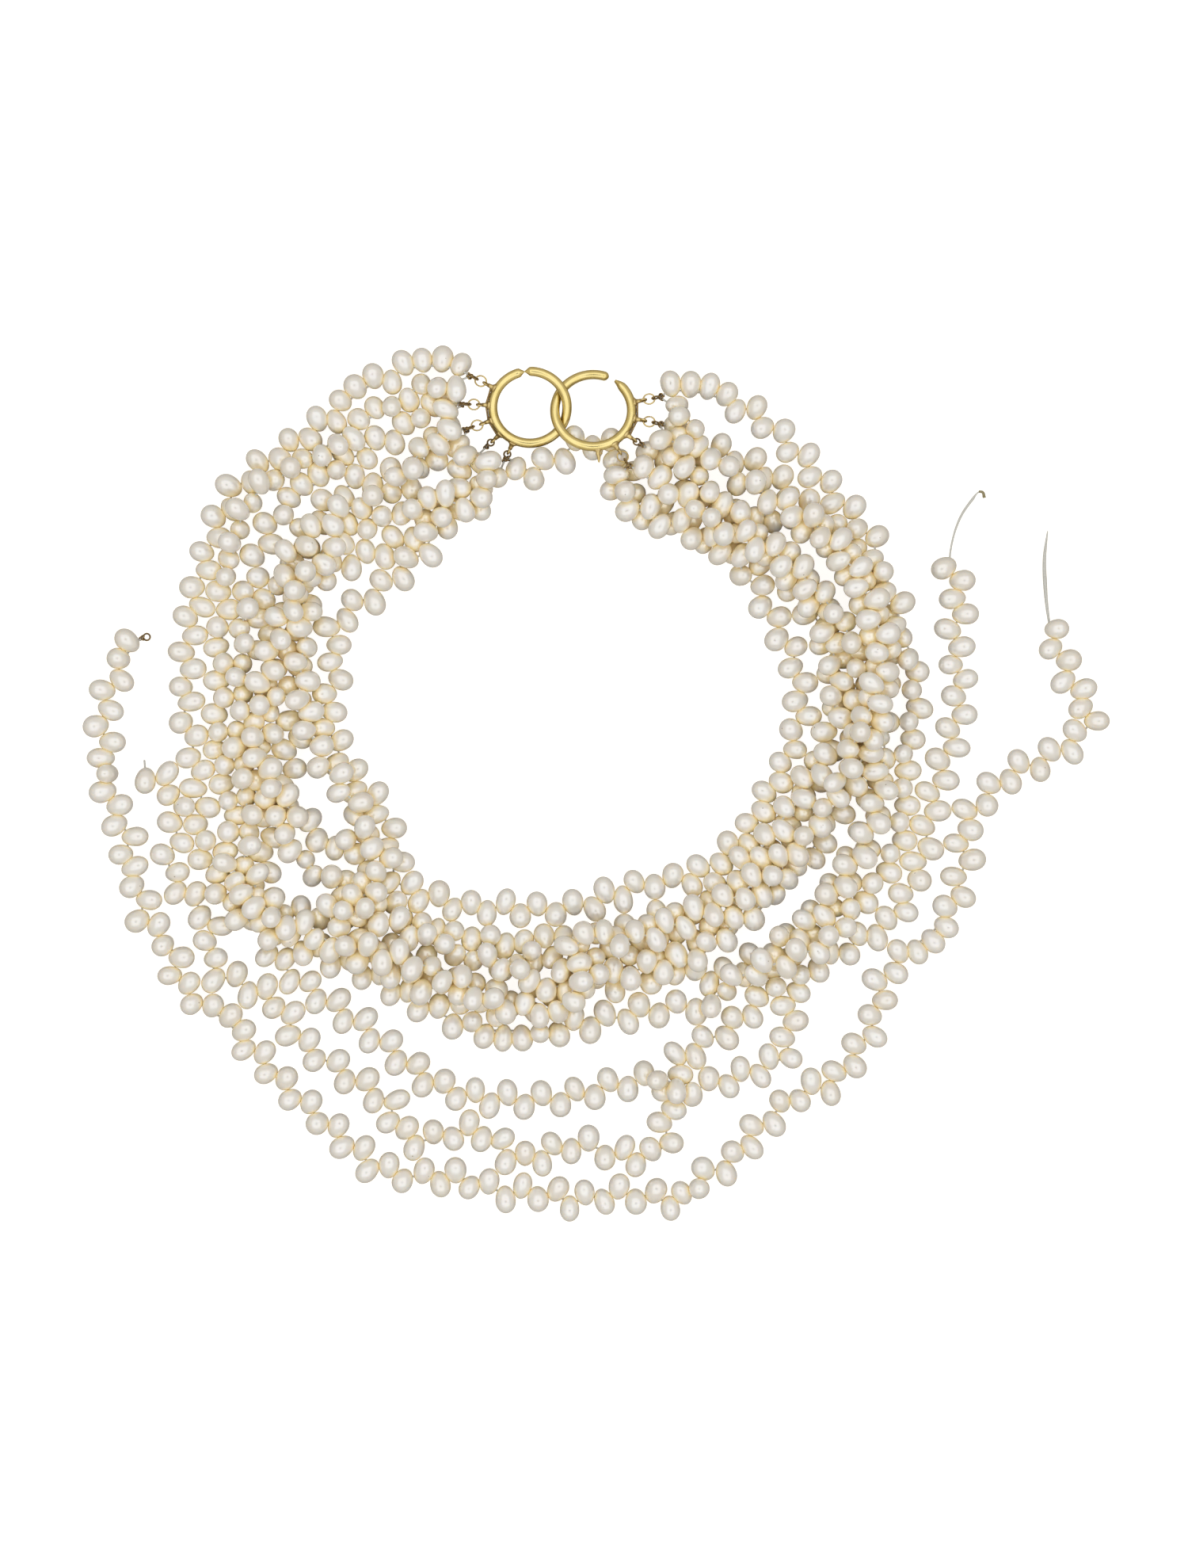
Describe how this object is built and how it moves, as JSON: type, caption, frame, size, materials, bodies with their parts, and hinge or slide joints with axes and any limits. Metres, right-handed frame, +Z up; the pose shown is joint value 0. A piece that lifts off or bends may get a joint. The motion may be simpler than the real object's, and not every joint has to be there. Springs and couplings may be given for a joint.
{
  "type": "pearl necklace",
  "caption": "Torsade necklace of many strands of top-drilled pearls, laid flat, joined by a clasp of two linked gold rings with posts and jump rings.",
  "frame": {"origin": "on the table, under the middle of the laid necklace's bounding box", "axes": "+Z up from the table, +Y towards the clasp, +X to the right of someone who looks down with the clasp furthest away"},
  "size_m": [0.2539, 0.2201, 0.0184],
  "materials": {
    "pearl": "cream nacre with a soft lustre",
    "gold": "polished yellow gold",
    "tarnished_gold": "darkened, wound wire",
    "silk": "twisted silk thread"
  },
  "bodies": {
    "strands": {"pearl_strand_1": "pearl", "pearl_strand_2": "pearl", "pearl_strand_3": "pearl", "pearl_strand_4": "pearl", "pearl_strand_5": "pearl", "pearl_strand_6": "pearl", "pearl_strand_7": "pearl", "pearl_strand_8": "pearl", "pearl_strand_9": "pearl", "pearl_strand_10": "pearl", "loose_thread_1": "silk", "loose_thread_2": "silk"},
    "left_clasp": {"left_clasp_ring": "gold", "left_post_1": "gold", "left_post_2": "gold", "left_post_3": "gold", "left_post_4": "gold", "left_post_5": "gold"},
    "left_jump_1": {"left_jump_ring_1": "gold"},
    "left_loop_1": {"left_thread_loop_1": "tarnished_gold"},
    "left_jump_2": {"left_jump_ring_2": "gold"},
    "left_loop_2": {"left_thread_loop_2": "tarnished_gold"},
    "left_jump_3": {"left_jump_ring_3": "gold"},
    "left_loop_3": {"left_thread_loop_3": "tarnished_gold"},
    "left_loop_4": {"left_thread_loop_4": "tarnished_gold"},
    "left_loop_5": {"left_thread_loop_5": "tarnished_gold"},
    "right_clasp": {"right_clasp_ring": "gold", "right_post_1": "gold", "right_post_2": "gold", "right_post_3": "gold", "right_post_4": "gold", "right_broken_post": "gold"},
    "right_jump_1": {"right_jump_ring_1": "gold"},
    "right_loop_1": {"right_thread_loop_1": "tarnished_gold"},
    "right_jump_2": {"right_jump_ring_2": "gold"},
    "right_loop_2": {"right_thread_loop_2": "tarnished_gold"},
    "right_loop_3": {"right_thread_loop_3": "tarnished_gold"},
    "right_jump_4": {"right_jump_ring_4": "gold"},
    "right_loop_4": {"right_thread_loop_4": "tarnished_gold"},
    "loose_loop": {"loose_thread_loop": "tarnished_gold"}
  },
  "joints": [
    {"name": "left_clasp_turn", "type": "hinge", "parent": "strands", "child": "left_clasp", "pos_m": [-0.0159, 0.0925, 0.0046], "axis": [0, -0.309, 0.9511], "range_deg": [-6, 6]},
    {"name": "left_jump_1_swing", "type": "hinge", "parent": "left_clasp", "child": "left_jump_1", "pos_m": [-0.02701, 0.09836, 0.0065], "axis": [0, -0.309, 0.9511], "range_deg": [-12, 12]},
    {"name": "left_loop_1_swing", "type": "hinge", "parent": "left_jump_1", "child": "left_loop_1", "pos_m": [-0.02954, 0.09969, 0.00694], "axis": [0, -0.309, 0.9511], "range_deg": [-24, 24]},
    {"name": "left_jump_2_swing", "type": "hinge", "parent": "left_clasp", "child": "left_jump_2", "pos_m": [-0.02858, 0.09313, 0.00481], "axis": [0, -0.309, 0.9511], "range_deg": [-12, 12]},
    {"name": "left_loop_2_swing", "type": "hinge", "parent": "left_jump_2", "child": "left_loop_2", "pos_m": [-0.03148, 0.09328, 0.00485], "axis": [0, -0.309, 0.9511], "range_deg": [-24, 24]},
    {"name": "left_jump_3_swing", "type": "hinge", "parent": "left_clasp", "child": "left_jump_3", "pos_m": [-0.02787, 0.08847, 0.00329], "axis": [0, -0.309, 0.9511], "range_deg": [-12, 12]},
    {"name": "left_loop_3_swing", "type": "hinge", "parent": "left_jump_3", "child": "left_loop_3", "pos_m": [-0.03061, 0.08755, 0.00299], "axis": [0, -0.309, 0.9511], "range_deg": [-24, 24]},
    {"name": "left_loop_4_swing", "type": "hinge", "parent": "left_clasp", "child": "left_loop_4", "pos_m": [-0.02519, 0.08426, 0.00192], "axis": [0, -0.309, 0.9511], "range_deg": [-10, 10]},
    {"name": "left_loop_5_swing", "type": "hinge", "parent": "left_clasp", "child": "left_loop_5", "pos_m": [-0.02127, 0.08155, 0.00104], "axis": [0, -0.309, 0.9511], "range_deg": [-10, 10]},
    {"name": "right_clasp_turn", "type": "hinge", "parent": "strands", "child": "right_clasp", "pos_m": [0.0001, 0.0917, 0.0046], "axis": [0, 0.309, 0.9511], "range_deg": [-6, 6]},
    {"name": "right_jump_1_swing", "type": "hinge", "parent": "right_clasp", "child": "right_jump_1", "pos_m": [0.0128, 0.09435, 0.00374], "axis": [0, 0.309, 0.9511], "range_deg": [-12, 12]},
    {"name": "right_loop_1_swing", "type": "hinge", "parent": "right_jump_1", "child": "right_loop_1", "pos_m": [0.01563, 0.09495, 0.00354], "axis": [0, 0.309, 0.9511], "range_deg": [-24, 24]},
    {"name": "right_jump_2_swing", "type": "hinge", "parent": "right_clasp", "child": "right_jump_2", "pos_m": [0.01282, 0.08913, 0.00543], "axis": [0, 0.309, 0.9511], "range_deg": [-12, 12]},
    {"name": "right_loop_2_swing", "type": "hinge", "parent": "right_jump_2", "child": "right_loop_2", "pos_m": [0.01565, 0.08856, 0.00562], "axis": [0, 0.309, 0.9511], "range_deg": [-24, 24]},
    {"name": "right_loop_3_swing", "type": "hinge", "parent": "right_clasp", "child": "right_loop_3", "pos_m": [0.01041, 0.08417, 0.00705], "axis": [0, 0.309, 0.9511], "range_deg": [-10, 10]},
    {"name": "right_jump_4_swing", "type": "hinge", "parent": "right_clasp", "child": "right_jump_4", "pos_m": [0.00679, 0.0811, 0.00804], "axis": [0, 0.309, 0.9511], "range_deg": [-12, 12]},
    {"name": "right_loop_4_swing", "type": "hinge", "parent": "right_jump_4", "child": "right_loop_4", "pos_m": [0.00829, 0.07874, 0.00881], "axis": [0, 0.309, 0.9511], "range_deg": [-24, 24]},
    {"name": "loose_loop_swing", "type": "hinge", "parent": "strands", "child": "loose_loop", "pos_m": [-0.1138, 0.0341, 0.00022], "axis": [0, 0, 1], "range_deg": [-25, 25]}
  ],
  "couplings": [
    {"joint": "left_loop_1_swing", "follows": "left_jump_1_swing", "ratio": -2},
    {"joint": "left_loop_2_swing", "follows": "left_jump_2_swing", "ratio": -2},
    {"joint": "left_loop_3_swing", "follows": "left_jump_3_swing", "ratio": -2},
    {"joint": "right_loop_1_swing", "follows": "right_jump_1_swing", "ratio": -2},
    {"joint": "right_loop_2_swing", "follows": "right_jump_2_swing", "ratio": -2},
    {"joint": "right_loop_4_swing", "follows": "right_jump_4_swing", "ratio": -2}
  ]
}
